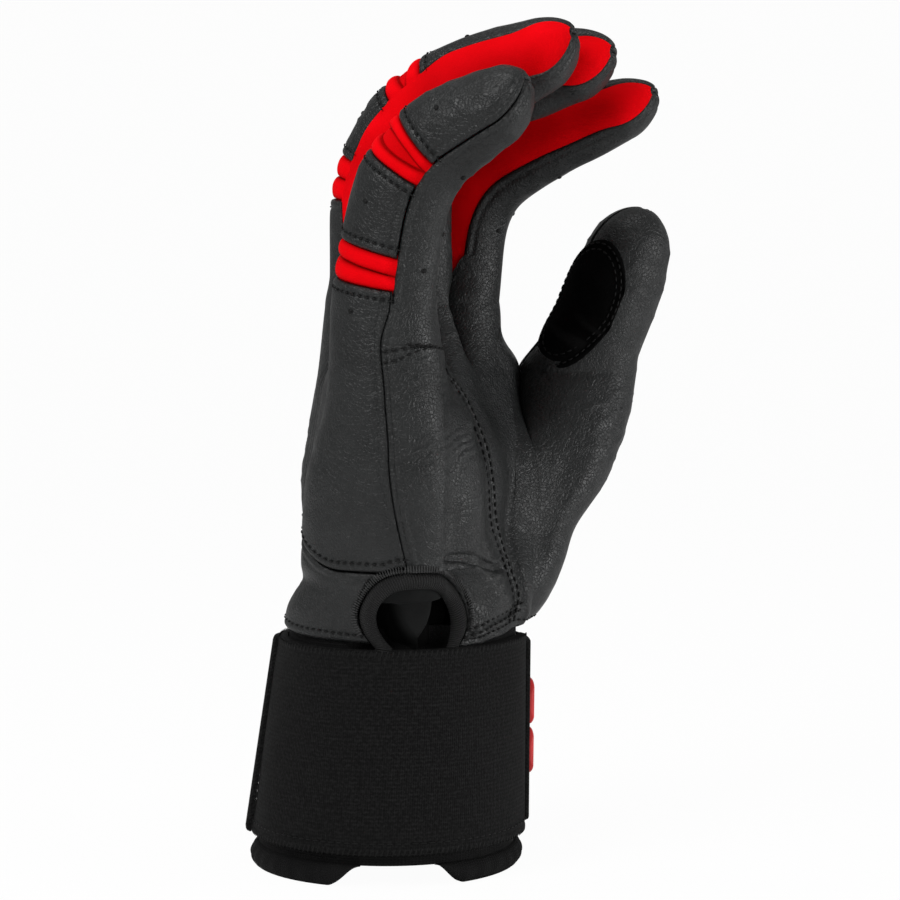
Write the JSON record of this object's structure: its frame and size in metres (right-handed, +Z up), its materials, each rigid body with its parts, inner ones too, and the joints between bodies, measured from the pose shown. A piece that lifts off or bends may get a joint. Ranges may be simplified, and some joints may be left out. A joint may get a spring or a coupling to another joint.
{
  "type": "batting glove",
  "caption": "Right-hand leather batting glove with ribbed stretch knuckle inserts, a padded heel, a bound wrist vent and a wide hook-and-loop wrist strap.",
  "frame": {"origin": "centre of the wrist opening in the plane of the hem", "axes": "+Z up the hand to the fingertips, +X out of the palm, +Y to the thumb side"},
  "size_m": [0.1045, 0.118, 0.2316],
  "materials": {
    "leather": "soft charcoal sheepskin",
    "suede": "black suede",
    "lycra": "red stretch knit",
    "elastic": "black woven elastic",
    "rubber": "red moulded rubber",
    "foam": "closed-cell foam"
  },
  "bodies": {
    "hand": {"back_ulnar_panel": "leather", "back_center_panel": "leather", "back_index_panel": "leather", "wrist_back_panel": "leather", "palm_panel": "leather", "thumb_base_palm": "leather", "thumb_base_back": "leather", "heel_pad": "leather", "heel_foam": "foam", "vent_binding": "elastic", "vent_gusset": "suede", "cuff": "elastic", "cuff_hem": "elastic", "strap_band": "elastic", "strap_anchor": "elastic", "loop_patch": "elastic"},
    "thumb": {"thumb_front": "leather", "thumb_back": "leather", "thumb_patch": "suede"},
    "strap_end": {"strap_tab": "elastic", "hook_patch": "elastic", "badge_lower": "rubber", "badge_upper": "rubber"},
    "pinky_middle": {"pinky_mid_back": "leather", "pinky_front_lower": "leather", "pinky_lower_flex": "lycra", "pinky_radial_side": "lycra"},
    "pinky_end": {"pinky_tip_back": "leather", "pinky_front_upper": "leather", "pinky_upper_flex": "lycra"},
    "ring_middle": {"ring_mid_back": "leather", "ring_front_lower": "leather", "ring_lower_flex": "lycra", "ring_ulnar_side": "lycra", "ring_radial_side": "lycra"},
    "ring_end": {"ring_tip_back": "leather", "ring_front_upper": "leather", "ring_upper_flex": "lycra"},
    "middle_middle": {"middle_mid_back": "leather", "middle_front_lower": "leather", "middle_lower_flex": "lycra", "middle_ulnar_side": "lycra", "middle_radial_side": "lycra"},
    "middle_end": {"middle_tip_back": "leather", "middle_front_upper": "leather", "middle_upper_flex": "lycra"},
    "index_middle": {"index_mid_back": "leather", "index_front_lower": "leather", "index_lower_flex": "lycra", "index_ulnar_side": "lycra"},
    "index_end": {"index_tip_back": "leather", "index_front_upper": "leather", "index_upper_flex": "lycra"}
  },
  "joints": [
    {"name": "pinky_lower_bend", "type": "hinge", "parent": "hand", "child": "pinky_middle", "pos_m": [0.02641, -0.03225, 0.16284], "axis": [0, 1, 0], "range_deg": [-15, 45], "stiffness_Nm_per_rad": 0.05, "deforming": ["pinky_lower_flex", "pinky_radial_side"]},
    {"name": "pinky_upper_bend", "type": "hinge", "parent": "pinky_middle", "child": "pinky_end", "pos_m": [0.03146, -0.03225, 0.1842], "axis": [0, 1, 0], "range_deg": [-18, 45], "stiffness_Nm_per_rad": 0.05, "deforming": ["pinky_upper_flex", "pinky_radial_side"]},
    {"name": "ring_lower_bend", "type": "hinge", "parent": "hand", "child": "ring_middle", "pos_m": [0.01164, -0.01075, 0.18382], "axis": [0, 1, 0], "range_deg": [-15, 45], "stiffness_Nm_per_rad": 0.05, "deforming": ["ring_lower_flex", "ring_ulnar_side", "ring_radial_side"]},
    {"name": "ring_upper_bend", "type": "hinge", "parent": "ring_middle", "child": "ring_end", "pos_m": [0.02108, -0.01075, 0.19761], "axis": [0, 1, 0], "range_deg": [-18, 45], "stiffness_Nm_per_rad": 0.05, "deforming": ["ring_upper_flex", "ring_ulnar_side", "ring_radial_side"]},
    {"name": "middle_lower_bend", "type": "hinge", "parent": "hand", "child": "middle_middle", "pos_m": [0.00893, 0.01075, 0.18621], "axis": [0, 1, 0], "range_deg": [-15, 45], "stiffness_Nm_per_rad": 0.05, "deforming": ["middle_lower_flex", "middle_ulnar_side", "middle_radial_side"]},
    {"name": "middle_upper_bend", "type": "hinge", "parent": "middle_middle", "child": "middle_end", "pos_m": [0.01859, 0.01075, 0.19881], "axis": [0, 1, 0], "range_deg": [-18, 45], "stiffness_Nm_per_rad": 0.05, "deforming": ["middle_upper_flex", "middle_ulnar_side", "middle_radial_side"]},
    {"name": "index_lower_bend", "type": "hinge", "parent": "hand", "child": "index_middle", "pos_m": [0.01438, 0.03225, 0.17372], "axis": [0, 1, 0], "range_deg": [-15, 45], "stiffness_Nm_per_rad": 0.05, "deforming": ["index_lower_flex", "index_ulnar_side"]},
    {"name": "index_upper_bend", "type": "hinge", "parent": "index_middle", "child": "index_end", "pos_m": [0.02156, 0.03225, 0.18396], "axis": [0, 1, 0], "range_deg": [-18, 45], "stiffness_Nm_per_rad": 0.05, "deforming": ["index_upper_flex", "index_ulnar_side"]},
    {"name": "thumb_bend", "type": "hinge", "parent": "hand", "child": "thumb", "pos_m": [0.0397, 0.0488, 0.1352], "axis": [0.6691, 0.7431, 0], "range_deg": [-10, 15], "stiffness_Nm_per_rad": 0.08},
    {"name": "strap_open", "type": "hinge", "parent": "hand", "child": "strap_end", "pos_m": [0.0319, 0.016, 0.036], "axis": [0, 0, -1], "range_deg": [0, 110]}
  ]
}
